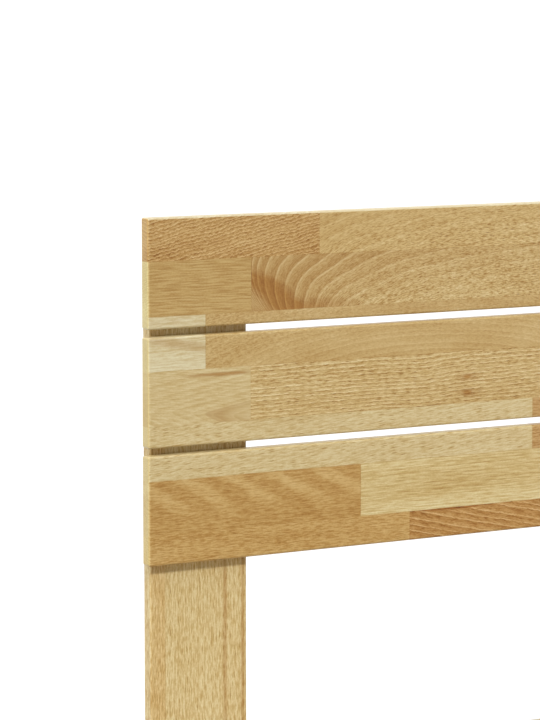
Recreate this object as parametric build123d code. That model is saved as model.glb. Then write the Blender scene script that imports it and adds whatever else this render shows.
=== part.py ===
from build123d import *
import os

# Wooden bed frame for one mattress, in millimetres
# X runs across the bed, the head end is at +Y, Z is up from the floor
# The origin is on the floor, at the middle of the outline seen from above

# Mattress that the frame takes
mattress_width = 1400.0
mattress_length = 2000.0
mattress_clearance = 10.0  # room left on each side and at each end

# Headboard: wide boards, one above another, on the front of two posts
headboard_height = 1000.0
board_names = ("top", "middle", "bottom")
board_height = 140.0
board_thickness = 18.0
board_gap = 10.0
board_overhang = 11.0  # past the outer edge of the posts
board_edge_radius = 3.0

# Posts, which are also the legs
post_width = 140.0
post_thickness = 18.0
post_top_drop = 10.0  # below the top edge of the board in front of it
post_edge_radius = 2.0
glide_thickness = 3.0
glide_width = 12.0
glide_end_margin = 12.0

# Rails
floor_clearance = 120.0  # floor to the underside of the rails
rail_height = 170.0
rail_thickness = 25.0
rail_edge_radius = 3.0
head_rail_end_gap = 1.0

# Slats and the ledges that carry them
slat_count = 16
slat_width = 80.0
slat_thickness = 18.0
slat_end_gap = 5.0
slat_edge_radius = 3.0
ledge_drop = 75.0  # rail top to ledge top
ledge_width = 30.0
ledge_height = 40.0
ledge_end_gap = 5.0
ledge_edge_radius = 2.0

# Centre beam and the folded steel shoes at its ends
beam_width = 40.0
beam_height = 60.0
beam_edge_radius = 3.0
beam_end_gap = 1.0
shoe_sheet = 2.5
shoe_depth = 42.0
shoe_cheek_drop = 16.0  # beam top to the top of the cheeks
shoe_plate_drop = 10.0  # beam top to the top of the plate
shoe_flange_width = 22.0
shoe_corner_radius = 5.0
shoe_clearance = 0.5
shoe_screw_spread = 28.0
shoe_screw_diameter = 4.0
shoe_screw_head_diameter = 8.0
shoe_screw_crown_diameter = 4.0
shoe_screw_head_height = 2.4
shoe_screw_rim_height = 0.8

# Centre leg with its levelling foot
leg_width = 46.0
leg_edge_radius = 3.0
hanger_bolt_diameter = 8.0
hanger_bolt_bite = 26.0  # into the beam, and into the leg
insert_diameter = 14.0
insert_length = 18.0
insert_flange_diameter = 20.0
insert_flange_thickness = 1.5
stud_diameter = 10.0
stud_bite = 30.0  # above the underside of the leg
stud_chamfer = 1.0
stud_hex_width = 14.0  # across flats
stud_hex_height = 5.0
stud_socket_depth = 6.0
pad_diameter = 45.0
pad_neck_diameter = 22.0
pad_rim_height = 4.0
pad_rim_chamfer = 1.0
pad_height = 10.0
foot_travel = 15.0
foot_spare_gap = 4.0  # left under the insert when the foot is screwed right in

# Countersunk wood screws
screw_diameter = 4.5
screw_head_diameter = 9.0
screw_tip_length = 5.0
screw_tip_cover = 5.0  # wood left beyond the tip
board_screw_spread = 80.0
rail_screw_spread = 100.0
ledge_screw_gap_count = 2  # gaps between the slats for each ledge screw
slat_screw_bite = 24.0

# Flat-headed rail bolts, their cross-drilled barrel nuts, and dowels
bolt_diameter = 6.0
bolt_head_diameter = 15.0
bolt_head_height = 3.0
bolt_hex_width = 4.0
bolt_hex_depth = 2.0
bolt_spread = 84.0
bolt_end_spare = 8.0  # past the axis of the barrel nut
barrel_diameter = 10.0
barrel_length = 16.0
barrel_depth = 40.0  # end of the rail to the axis of the barrel nut
dowel_diameter = 8.0
dowel_cover = 6.0  # wood left in the post beyond the dowel
dowel_rail_bite = 24.0
dowel_chamfer = 1.0

# Clearances
drill_clearance = 0.1  # on the radius and at the end of a hole round what sits in it
thread_clearance = 0.1  # on the radius, stud to insert
bolt_hole_clearance = 0.5  # on the radius, bolt shank to wood
stud_hole_clearance = 1.0  # on the radius, stud to wood above the insert
stud_hole_spare = 3.0  # past the end of the stud when it is screwed right in

# Places worked out from the sizes above
inner_width = mattress_width + 2 * mattress_clearance
inner_length = mattress_length + 2 * mattress_clearance
outer_x = inner_width / 2 + rail_thickness
board_length = 2 * (outer_x + board_overhang)
total_length = inner_length + 2 * (board_thickness + post_thickness)

foot_front_y = -total_length / 2
foot_post_front_y = foot_front_y + board_thickness
foot_post_back_y = foot_post_front_y + post_thickness
head_rail_front_y = foot_post_back_y + inner_length
head_post_front_y = head_rail_front_y + board_thickness
head_back_y = head_post_front_y + post_thickness

rail_top = floor_clearance + rail_height
rail_middle_z = floor_clearance + rail_height / 2
ledge_top = rail_top - ledge_drop
slat_top = ledge_top + slat_thickness
beam_bottom = ledge_top - beam_height
shoe_cheek_height = beam_height - shoe_cheek_drop
shoe_plate_height = beam_height - shoe_plate_drop + shoe_sheet
leg_bottom = (
    pad_height + stud_hex_height + foot_travel + foot_spare_gap + insert_flange_thickness
)
post_middle_x = outer_x - post_width / 2
rail_middle_x = outer_x - rail_thickness / 2
ledge_middle_x = inner_width / 2 - ledge_width / 2
slat_pitch = (mattress_length - slat_width) / (slat_count - 1)
first_slat_y = foot_post_back_y + mattress_clearance + slat_width / 2
slat_places = [first_slat_y + index * slat_pitch for index in range(slat_count)]
beam_foot_y = foot_post_front_y + shoe_sheet + beam_end_gap
beam_head_y = head_rail_front_y - shoe_sheet - beam_end_gap
leg_y = (beam_foot_y + beam_head_y) / 2
sides = {"left": -1, "right": 1}


# Plain shapes

def block(x, y, z):
    size = [high - low for low, high in (x, y, z)]
    middle = [(low + high) / 2 for low, high in (x, y, z)]
    return Pos(*middle) * Box(*size)


def mirrored(side, low, high):
    return (low, high) if side > 0 else (-high, -low)


def round_bar(radius, length, chamfer_size=0.0):
    bar = Cylinder(radius, length, align=(Align.CENTER, Align.CENTER, Align.MAX))
    return chamfer(bar.edges().filter_by(GeomType.CIRCLE), chamfer_size) if chamfer_size else bar


def turned(points):
    profile = make_face(Plane.XZ * Polyline(*points, close=True))
    return revolve(profile, Axis.Z)


def place(frames, shape):
    return [frame.location * shape for frame in frames]


def drilled(piece, *cutter_groups):
    cutters = [cutter for group in cutter_groups for cutter in group]
    reach = piece.bounding_box()
    near = [cutter for cutter in cutters if reach.overlaps(cutter.bounding_box())]
    return piece - near


# Fasteners, each with its head at the origin and its tip towards -Z

def wood_screw(length, growth=0.0):
    shank = screw_diameter / 2 + growth
    head = screw_head_diameter / 2 + growth
    end = -length - growth
    return turned([
        (0, 0),
        (head, 0),
        (shank, shank - head),
        (shank, end + screw_tip_length),
        (0, end),
    ])


def pan_screw(length):
    shank = shoe_screw_diameter / 2
    head = shoe_screw_head_diameter / 2
    return turned([
        (0, shoe_screw_head_height),
        (shoe_screw_crown_diameter / 2, shoe_screw_head_height),
        (head, shoe_screw_rim_height),
        (head, 0),
        (shank, 0),
        (shank, -length + shank),
        (0, -length),
    ])


def rail_bolt():
    head = round_bar(bolt_head_diameter / 2, bolt_head_height)
    shank = round_bar(bolt_diameter / 2, bolt_length)
    socket = extrude(RegularPolygon(bolt_hex_width / 2, 6, major_radius=False), -bolt_hex_depth)
    return head + shank - socket


def rail_bolt_hole():
    head = round_bar(bolt_head_diameter / 2 + bolt_hole_clearance, bolt_head_height)
    shank = round_bar(bolt_diameter / 2 + bolt_hole_clearance, bolt_length + bolt_hole_clearance)
    return head + shank


def barrel_nut(frame):
    body = Cylinder(barrel_diameter / 2, barrel_length, rotation=(0, 90, 0))
    thread = Cylinder(bolt_diameter / 2 + drill_clearance, barrel_diameter)
    return frame.location * (Pos(0, 0, -barrel_axis_depth) * (body - thread))


def barrel_hole(frame, side):
    depth = rail_thickness / 2 + barrel_length / 2 + drill_clearance
    inner_x = side * inner_width / 2
    axis_y = frame.origin.Y - frame.z_dir.Y * barrel_axis_depth
    drill = round_bar(barrel_diameter / 2 + drill_clearance, depth)
    return Plane((inner_x, axis_y, frame.origin.Z), z_dir=(-side, 0, 0)).location * drill


board_screw_length = post_thickness + board_thickness - screw_tip_cover
ledge_screw_length = ledge_width + rail_thickness - screw_tip_cover
slat_screw_length = slat_thickness + slat_screw_bite
shoe_screw_length = shoe_sheet + board_thickness - screw_tip_cover
barrel_axis_depth = post_thickness + barrel_depth
bolt_length = barrel_axis_depth + bolt_end_spare
dowel_post_bite = post_thickness - dowel_cover
dowel_length = dowel_post_bite + dowel_rail_bite


# Where the fasteners go

def board_middle_z(index):
    return headboard_height - board_height / 2 - index * (board_height + board_gap)


headboard_screw_frames = [
    Plane((side * post_middle_x, head_back_y, board_middle_z(index) + step), z_dir=(0, 1, 0))
    for side in sides.values()
    for index in range(len(board_names))
    for step in (-board_screw_spread / 2, board_screw_spread / 2)
]
head_rail_screw_x = (outer_x - post_width + inner_width / 2 - head_rail_end_gap) / 2
head_rail_screw_frames = [
    Plane((side * head_rail_screw_x, head_back_y, rail_middle_z + step), z_dir=(0, 1, 0))
    for side in sides.values()
    for step in (-rail_screw_spread / 2, rail_screw_spread / 2)
]
foot_board_screw_frames = [
    Plane((side * post_middle_x, foot_post_back_y, rail_middle_z + step), z_dir=(0, 1, 0))
    for side in sides.values()
    for step in (-rail_screw_spread / 2, rail_screw_spread / 2)
]
ledge_screw_places = [y + slat_pitch / 2 for y in slat_places[:-1:ledge_screw_gap_count]]
ledge_screw_frames = [
    Plane(
        (side * (inner_width / 2 - ledge_width), y, ledge_top - ledge_height / 2),
        z_dir=(-side, 0, 0),
    )
    for side in sides.values()
    for y in ledge_screw_places
]
slat_screw_frames = [
    Plane((side * ledge_middle_x, y, slat_top), z_dir=(0, 0, 1))
    for side in sides.values()
    for y in slat_places
]
corners = [(side, end) for side in sides.values() for end in (-1, 1)]
bolt_frames = {
    (side, end): [
        Plane(
            (
                side * rail_middle_x,
                head_back_y if end > 0 else foot_post_front_y,
                rail_middle_z + step,
            ),
            x_dir=(1, 0, 0),
            z_dir=(0, end, 0),
        )
        for step in (-bolt_spread / 2, bolt_spread / 2)
    ]
    for side, end in corners
}
dowel_frames = [
    Plane(
        (
            side * rail_middle_x,
            head_post_front_y + dowel_post_bite if end > 0 else foot_post_back_y - dowel_post_bite,
            rail_middle_z,
        ),
        z_dir=(0, end, 0),
    )
    for side, end in corners
]
all_bolt_frames = [frame for frames in bolt_frames.values() for frame in frames]
shoe_frames = {
    "head": Plane((0, head_rail_front_y, beam_bottom), x_dir=(1, 0, 0), z_dir=(0, -1, 0)),
    "foot": Plane((0, foot_post_front_y, beam_bottom), x_dir=(-1, 0, 0), z_dir=(0, 1, 0)),
}


# Fasteners and the holes that take them

wood_screws = {
    "headboard_screws": (headboard_screw_frames, board_screw_length),
    "head_rail_screws": (head_rail_screw_frames, board_screw_length),
    "foot_board_screws": (foot_board_screw_frames, board_screw_length),
    "ledge_screws": (ledge_screw_frames, ledge_screw_length),
    "slat_screws": (slat_screw_frames, slat_screw_length),
}
screw_holes = {
    name: place(frames, wood_screw(length, drill_clearance))
    for name, (frames, length) in wood_screws.items()
}
bolt_holes = place(all_bolt_frames, rail_bolt_hole())
barrel_holes = [
    barrel_hole(frame, side) for (side, end), frames in bolt_frames.items() for frame in frames
]
dowel_hole_frames = [frame.offset(drill_clearance) for frame in dowel_frames]
dowel_hole = round_bar(dowel_diameter / 2 + drill_clearance, dowel_length + 2 * drill_clearance)
dowel_holes = place(dowel_hole_frames, dowel_hole)


# Boards, posts and rails

def full_board(front_y, low_z, height):
    end = board_length / 2
    board = block((-end, end), (front_y, front_y + board_thickness), (low_z, low_z + height))
    return fillet(board.edges(), board_edge_radius)


def post(side, front_y, top_z):
    x = mirrored(side, outer_x - post_width, outer_x)
    body = block(x, (front_y, front_y + post_thickness), (glide_thickness, top_z))
    return fillet(body.edges() - body.edges().group_by(Axis.Z)[0], post_edge_radius)


def headboard_boards():
    boards = {}
    for index, name in enumerate(board_names):
        low_z = board_middle_z(index) - board_height / 2
        board = full_board(head_rail_front_y, low_z, board_height)
        boards[f"headboard_board_{name}"] = drilled(board, screw_holes["headboard_screws"])
    return boards


def posts():
    made = {}
    for name, side in sides.items():
        head = post(side, head_post_front_y, headboard_height - post_top_drop)
        foot = post(side, foot_post_front_y, rail_top - post_top_drop)
        made[f"head_post_{name}"] = drilled(
            head,
            screw_holes["headboard_screws"],
            screw_holes["head_rail_screws"],
            bolt_holes,
            dowel_holes,
        )
        made[f"foot_post_{name}"] = drilled(
            foot, screw_holes["foot_board_screws"], bolt_holes, dowel_holes
        )
    return made


def head_rail():
    end = inner_width / 2 - head_rail_end_gap
    rail = block((-end, end), (head_rail_front_y, head_post_front_y), (floor_clearance, rail_top))
    rail = fillet(rail.edges().filter_by(Axis.X), rail_edge_radius)
    return drilled(rail, screw_holes["head_rail_screws"], shoe_screw_holes("head"))


def foot_board():
    board = full_board(foot_front_y, floor_clearance, rail_height)
    return drilled(board, screw_holes["foot_board_screws"], shoe_screw_holes("foot"))


def side_rail(side):
    x = mirrored(side, inner_width / 2, outer_x)
    rail = block(x, (foot_post_back_y, head_post_front_y), (floor_clearance, rail_top))
    rail = fillet(rail.edges().filter_by(Axis.Y), rail_edge_radius)
    return drilled(rail, screw_holes["ledge_screws"], bolt_holes, barrel_holes, dowel_holes)


# Slats and ledges

def slat_ledge(side):
    x = mirrored(side, inner_width / 2 - ledge_width, inner_width / 2)
    y = (foot_post_back_y + ledge_end_gap, head_rail_front_y - ledge_end_gap)
    ledge = block(x, y, (ledge_top - ledge_height, ledge_top))
    inner_edges = ledge.edges().filter_by(Axis.Y).sort_by(Axis.X, reverse=side > 0)[2:]
    ledge = fillet(inner_edges, ledge_edge_radius)
    return drilled(ledge, screw_holes["ledge_screws"], screw_holes["slat_screws"])


def slat(middle_y):
    end = inner_width / 2 - slat_end_gap
    y = (middle_y - slat_width / 2, middle_y + slat_width / 2)
    body = block((-end, end), y, (ledge_top, slat_top))
    body = fillet(body.edges().filter_by(Axis.X), slat_edge_radius)
    return drilled(body, screw_holes["slat_screws"])


# Centre beam, its shoes and its leg

def centre_beam():
    half = beam_width / 2
    beam = block((-half, half), (beam_foot_y, beam_head_y), (beam_bottom, ledge_top))
    beam = fillet(beam.edges().filter_by(Axis.Y), beam_edge_radius)
    return drilled(beam, [hanger_bolt(drill_clearance)])


def shoe_profile(width, height, floor, radius):
    outline = Pos(0, floor + height / 2) * Rectangle(width, height)
    return fillet(outline.vertices().group_by(Axis.Y)[0], radius)


def shoe_screw_places():
    flange_x = beam_width / 2 + shoe_clearance + shoe_sheet + shoe_flange_width / 2
    middle = shoe_plate_height / 2 - shoe_sheet
    steps = (-shoe_screw_spread / 2, shoe_screw_spread / 2)
    return [(side * flange_x, middle + step) for side in sides.values() for step in steps]


def beam_shoe(end):
    inner_width_of_cup = beam_width + 2 * shoe_clearance
    outer_width_of_cup = inner_width_of_cup + 2 * shoe_sheet
    outer = shoe_profile(
        outer_width_of_cup,
        shoe_cheek_height + shoe_sheet,
        -shoe_sheet,
        beam_edge_radius + shoe_sheet,
    )
    inner = shoe_profile(inner_width_of_cup, shoe_cheek_height, 0, beam_edge_radius)
    cup = extrude(outer - inner, shoe_depth)
    plate_width = outer_width_of_cup + 2 * shoe_flange_width
    plate_outline = RectangleRounded(plate_width, shoe_plate_height, shoe_corner_radius)
    plate = extrude(Pos(0, shoe_plate_height / 2 - shoe_sheet) * plate_outline, shoe_sheet)
    hole = round_bar(shoe_screw_diameter / 2 + drill_clearance, shoe_sheet)
    holes = [Pos(x, y, shoe_sheet) * hole for x, y in shoe_screw_places()]
    return shoe_frames[end].location * (plate + cup - holes)


def shoe_screws():
    screw = Pos(0, 0, shoe_sheet) * pan_screw(shoe_screw_length)
    return [
        frame.location * (Pos(x, y, 0) * screw)
        for frame in shoe_frames.values()
        for x, y in shoe_screw_places()
    ]


def shoe_screw_holes(end):
    depth = shoe_screw_length - shoe_sheet + drill_clearance
    drill = round_bar(shoe_screw_diameter / 2 + drill_clearance, depth)
    return [shoe_frames[end].location * (Pos(x, y, 0) * drill) for x, y in shoe_screw_places()]


def hanger_bolt(growth=0.0):
    bolt = round_bar(hanger_bolt_diameter / 2 + growth, 2 * (hanger_bolt_bite + growth))
    return Pos(0, leg_y, beam_bottom + hanger_bolt_bite + growth) * bolt


def insert_body(growth=0.0):
    return Cylinder(
        insert_diameter / 2 + growth,
        insert_length + growth,
        align=(Align.CENTER, Align.CENTER, Align.MIN),
    )


def centre_leg():
    half = leg_width / 2
    leg = block((-half, half), (leg_y - half, leg_y + half), (leg_bottom, beam_bottom))
    leg = fillet(leg.edges().filter_by(Axis.Z), leg_edge_radius)
    stud_hole = Cylinder(
        stud_diameter / 2 + stud_hole_clearance,
        stud_bite + foot_travel + stud_hole_spare,
        align=(Align.CENTER, Align.CENTER, Align.MIN),
    )
    holes = Pos(0, leg_y, leg_bottom) * (insert_body(drill_clearance) + stud_hole)
    return leg - holes - hanger_bolt(drill_clearance)


def centre_leg_insert():
    flange = round_bar(insert_flange_diameter / 2, insert_flange_thickness)
    bore_length = insert_length + insert_flange_thickness
    bore = round_bar(stud_diameter / 2 + thread_clearance, bore_length)
    insert = insert_body() + flange - Pos(0, 0, insert_length) * bore
    return Pos(0, leg_y, leg_bottom) * insert


def levelling_foot_stud():
    low = pad_height - stud_socket_depth
    top = leg_bottom + stud_bite
    rod = round_bar(stud_diameter / 2, top - low, stud_chamfer)
    hexagon = extrude(RegularPolygon(stud_hex_width / 2, 6, major_radius=False), stud_hex_height)
    return Pos(0, leg_y, 0) * (Pos(0, 0, top) * rod + Pos(0, 0, pad_height) * hexagon)


def levelling_foot_pad():
    rim = pad_diameter / 2
    pad = turned([
        (0, 0),
        (rim - pad_rim_chamfer, 0),
        (rim, pad_rim_chamfer),
        (rim, pad_rim_height),
        (pad_neck_diameter / 2, pad_height),
        (0, pad_height),
    ])
    socket_radius = stud_diameter / 2 + drill_clearance
    socket = Pos(0, 0, pad_height) * round_bar(socket_radius, stud_socket_depth + drill_clearance)
    return Pos(0, leg_y, 0) * (pad - socket)


# Glides under the posts

def post_glides():
    length = post_width - 2 * glide_end_margin
    strip = extrude(SlotOverall(length, glide_width), glide_thickness)
    post_middles_y = (foot_post_front_y + post_thickness / 2, head_back_y - post_thickness / 2)
    return [
        Pos(side * post_middle_x, y, 0) * strip for side in sides.values() for y in post_middles_y
    ]


# The whole frame, one named piece or group of like fasteners at a time

pieces = {}
pieces.update(headboard_boards())
pieces.update(posts())
pieces["head_rail"] = head_rail()
pieces["foot_board"] = foot_board()
for side_name, side_sign in sides.items():
    pieces[f"side_rail_{side_name}"] = side_rail(side_sign)
    pieces[f"slat_ledge_{side_name}"] = slat_ledge(side_sign)
for number, slat_y in enumerate(slat_places, 1):
    pieces[f"slat_{number:02d}"] = slat(slat_y)
pieces["centre_beam"] = centre_beam()
for end_name in shoe_frames:
    pieces[f"centre_beam_shoe_{end_name}"] = beam_shoe(end_name)
pieces["centre_leg"] = centre_leg()
pieces["centre_leg_hanger_bolt"] = hanger_bolt()
pieces["centre_leg_insert"] = centre_leg_insert()
pieces["levelling_foot_stud"] = levelling_foot_stud()
pieces["levelling_foot_pad"] = levelling_foot_pad()

groups = {
    name: place(frames, wood_screw(length)) for name, (frames, length) in wood_screws.items()
}
groups["shoe_screws"] = shoe_screws()
groups["rail_bolts"] = place(all_bolt_frames, rail_bolt())
groups["rail_barrel_nuts"] = [barrel_nut(frame) for frame in all_bolt_frames]
groups["rail_dowels"] = place(
    dowel_frames, round_bar(dowel_diameter / 2, dowel_length, dowel_chamfer)
)
groups["post_glides"] = post_glides()
for name, solids in groups.items():
    pieces[name] = Compound(children=solids)

os.makedirs("parts", exist_ok=True)
for name, piece in pieces.items():
    export_step(piece, f"parts/{name}.step")
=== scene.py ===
import math
import random

import bmesh
import bpy
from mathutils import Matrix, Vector


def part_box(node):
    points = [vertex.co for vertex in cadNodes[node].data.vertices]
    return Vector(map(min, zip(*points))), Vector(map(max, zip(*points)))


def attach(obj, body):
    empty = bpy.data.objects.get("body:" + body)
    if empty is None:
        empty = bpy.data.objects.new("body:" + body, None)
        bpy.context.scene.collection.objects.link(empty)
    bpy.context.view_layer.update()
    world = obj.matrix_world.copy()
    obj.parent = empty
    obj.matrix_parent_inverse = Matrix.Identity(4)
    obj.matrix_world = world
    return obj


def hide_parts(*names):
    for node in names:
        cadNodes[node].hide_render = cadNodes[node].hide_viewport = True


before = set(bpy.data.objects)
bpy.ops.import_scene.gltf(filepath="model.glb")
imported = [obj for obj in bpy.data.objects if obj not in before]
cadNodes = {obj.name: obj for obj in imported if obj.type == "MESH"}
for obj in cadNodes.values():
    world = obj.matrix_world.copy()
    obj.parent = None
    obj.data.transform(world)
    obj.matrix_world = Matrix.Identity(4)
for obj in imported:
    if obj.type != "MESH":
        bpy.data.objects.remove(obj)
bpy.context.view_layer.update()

scene = bpy.context.scene
mm = 0.001
axisOf = {"x": Vector((1, 0, 0)), "y": Vector((0, 1, 0)), "z": Vector((0, 0, 1))}
sharpFrom = {"wood": 38, "metal": 32}  # edges bent by more degrees shade sharp
print("frame loaded:", len(cadNodes), "nodes")


class Wire:  # one socket of a node tree; operators add Math nodes
    def __init__(self, tree, socket=None):
        self.tree = tree
        self.socket = socket

    def make(self, kind, settings=None, sockets=None, out=0):
        node = self.tree.nodes.new(kind)
        for key, value in (settings or {}).items():
            if key == "stops":
                while len(node.color_ramp.elements) < len(value):
                    node.color_ramp.elements.new(0.5)
                for element, (position, colour) in zip(node.color_ramp.elements, value):
                    element.position = position
                    element.color = (*colour, 1)
            elif key == "points":
                curve = node.mapping.curves[0]
                while len(curve.points) < len(value):
                    curve.points.new(0.5, 0.5)
                for point, place in zip(curve.points, value):
                    point.location = place
                    point.handle_type = "VECTOR"
                node.mapping.update()
            else:
                setattr(node, key, value)
        for key, value in (sockets or {}).items():
            for item in value if isinstance(value, list) else [value]:
                if isinstance(item, Wire):
                    self.tree.links.new(item.socket, node.inputs[key])
                else:
                    node.inputs[key].default_value = item
        if out is None:
            return [Wire(self.tree, socket) for socket in node.outputs]
        return Wire(self.tree, node.outputs[out])

    def form(self, kind, sockets=None):  # a geometry node without settings
        return self.make("GeometryNode" + kind, None, sockets)

    def math(self, operation, *others):
        return self.make("ShaderNodeMath", {"operation": operation}, dict(enumerate((self, *others))))

    def forward(operation):
        return lambda self, other: self.math(operation, other)

    def reflected(operation):  # with this socket as the second value
        return lambda self, other: self.make("ShaderNodeMath", {"operation": operation}, {0: other, 1: self})

    __add__ = __radd__ = forward("ADD")
    __mul__ = __rmul__ = forward("MULTIPLY")
    __sub__, __rsub__ = forward("SUBTRACT"), reflected("SUBTRACT")
    __truediv__, __rtruediv__ = forward("DIVIDE"), reflected("DIVIDE")
    __pow__, __rpow__ = forward("POWER"), reflected("POWER")

    def rise(self, low, high):  # 0 below low, 1 above high, smooth between
        return self.make("ShaderNodeMapRange", {"interpolation_type": "SMOOTHSTEP"},
                         {"Value": self, "From Min": low, "From Max": high})

    def vector(self, x, y, z=0):
        return self.make("ShaderNodeCombineXYZ", None, {0: x, 1: y, 2: z})

    def parts(self):
        return self.make("ShaderNodeSeparateXYZ", None, {0: self}, None)

    def place(self):  # where a point lies on its object
        return self.make("ShaderNodeTexCoord", None, None, "Object")

    def stretch(self, level, up=None):  # a vector scaled sideways, and upwards where that differs
        return self.make("ShaderNodeVectorMath", {"operation": "MULTIPLY"},
                         {0: self, 1: (level, level, up or level)})

    def noise(self, detail=2, roughness=0.5, out="Fac"):
        return self.make("ShaderNodeTexNoise", {"noise_dimensions": "3D"},
                         {"Vector": self, "Scale": 1, "Detail": detail, "Roughness": roughness}, out)

    def cells(self, scale=1):  # distance to the middle of the nearest cell, and the cell's colour
        return self.make("ShaderNodeTexVoronoi", {"voronoi_dimensions": "3D"},
                         {"Vector": self, "Scale": scale}, None)[:2]

    def ramp(self, stops):
        return self.make("ShaderNodeValToRGB", {"stops": stops}, {0: self})

    def dyed(self, factor, colour):  # multiplied by a colour
        return self.make("ShaderNodeMix", {"data_type": "RGBA", "blend_type": "MULTIPLY"},
                         {0: factor, 6: self, 7: colour}, 2)


def linear(red, green, blue):  # a colour as a screen shows it, 0 to 255, as light
    values = [v / 255 for v in (red, green, blue)]
    return tuple(v / 12.92 if v <= 0.04045 else ((v + 0.055) / 1.055) ** 2.4 for v in values)


def newMaterial(name):
    material = bpy.data.materials.new(name)
    material.use_nodes = True
    material.node_tree.nodes.clear()
    return material, Wire(material.node_tree)


def closeMaterial(start, shader):
    start.make("ShaderNodeOutputMaterial", None, {"Surface": shader}, None)


def finishMaterial(start, look, colour, roughness, relief):  # bump: strength, and depth in metres
    strength, depth = look["bump"]
    normal = start.make("ShaderNodeBump", None,
                        {"Strength": strength, "Distance": depth, "Height": relief}, "Normal")
    sockets = {"Base Color": colour, "Roughness": roughness, "Normal": normal, **look["surface"]}
    closeMaterial(start, start.make("ShaderNodeBsdfPrincipled", None, sockets))


beechLook = {
    "wander": 0.010, "ripple": 0.0045,  # how far the rings stray from true circles, metres
    "waver": 2,  # broad ripples against fine ones
    "unevenDepth": 1.2,  # years begin early or late within so many years
    "crowding": 40,  # how fast crowded rings close up
    "clearing": 0.55,  # share of the dashes and flecks that the heart is without
    "slowing": 0.014,  # how much of a slanted log's swell its dashes feel
    "flowDepth": 0.5, "flowAcross": 0.18,  # turns the dashes of wood that follows the rings
    "bandTurns": 92,  # how closely light bands follow each other, radians to the metre
    "bandSlant": 1.5, "bandSway": 5,
    "bendBefore": 0.075,  # lines dip on their way to a knot: where, half how long, how far, metres
    "bendHalf": 0.045, "bendDip": 0.0036,
    "knots": {"along": 0.36, "blur": 0.006, "core": 0.65, "rim": 0.35},  # longer than high
    "stainBlur": 0.8,
    "brown": (0.63, 0.42, 0.20),  # what dark heartwood, streaks, stains and knots do to the colour
    "redder": (0.64, 1.03, 1.8),  # dark wood loses blue first and red last
    "darkest": 0.15,
    "toneBy": {"fibre": 0.31, "dash": 0.45, "speck": 0.62, "grain": 0.30, "cloud": 0.34, "late": -0.38,
               "line": 0.32, "fleck": -0.46, "band": 0.30, "glue": -0.30},
    "roughBy": {"dash": 0.05, "fleck": 0.06, "late": -0.04},
    "reliefBy": {"dash": 0.2, "grain": 0.5, "fleck": -0.5, "glue": -1},
    "roughness": 0.42,
    "surface": {"IOR": 1.45, "Coat Weight": 0.15, "Coat Roughness": 0.28},  # oiled
    "bump": (0.10, 0.0006),
    "scales": {  # changes to the metre, or to the year, along each of the places
        "wander": (2, 13), "ripple": (290, 120), "waver": (26, 34), "uneven": (0.55, 0.35),
        "fibre": (9, 210, 14), "dash": (125, 640), "fleck": (110, 760), "speck": (340, 560),
        "grain": (70, 2600), "cloud": (3.5, 22), "streak": (75, 0.8), "blur": (22, 130),
        "glue": (9, 4),
    },
    "steps": {  # where a value begins to count, and where it counts in full; knots and edges in metres
        "late": (0.15, 0.94), "lateEnd": (0.94, 1), "line": (0, 0.05), "lineEnd": (0.07, 0.20),
        "dash": (0.28, 0.66), "fleck": (0.10, 0.50), "fleckKept": (0.50, 0.75), "streak": (0.54, 0.68),
        "band": (-0.7, 1), "bandEdge": (0.005, 0.045), "stain": (-0.3, 1.3), "knotCore": (0.0006, 0.0034),
        "knotRim": (0.002, 0.009), "glueEdge": (0.0002, 0.0009), "glueKept": (0.42, 0.66),
    },
    "means": {"late": 0.42, "line": 0.12, "dash": 0.55, "fleck": 0.10, "band": 0.4},  # taken off the marks
}


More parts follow.
